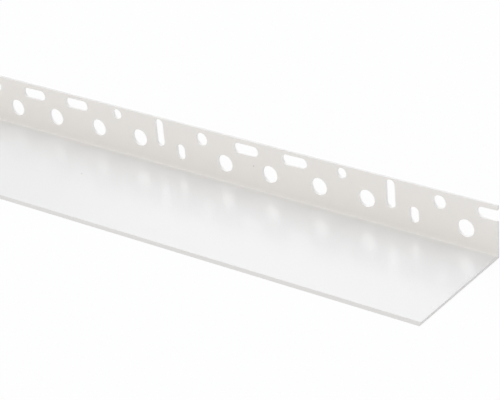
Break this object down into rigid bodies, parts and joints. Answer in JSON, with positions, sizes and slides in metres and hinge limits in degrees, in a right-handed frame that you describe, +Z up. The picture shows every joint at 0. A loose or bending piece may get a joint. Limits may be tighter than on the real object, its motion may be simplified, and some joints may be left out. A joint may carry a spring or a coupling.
{
  "type": "facade starter track",
  "caption": "White plastic L-section base track with a perforated wall leg and a plain shelf that carries the first row of facade insulation boards.",
  "frame": {"origin": "under the middle of the strip, half way between the wall plane and the sharp front edge, on the underside", "axes": "+X along the strip, +Y towards the wall, +Z up"},
  "size_m": [2, 0.076, 0.03],
  "materials": {
    "white_pvc": "smooth extruded rigid PVC, satin sheen"
  },
  "bodies": {
    "root": {"starter_track": "white_pvc"}
  },
  "joints": []
}
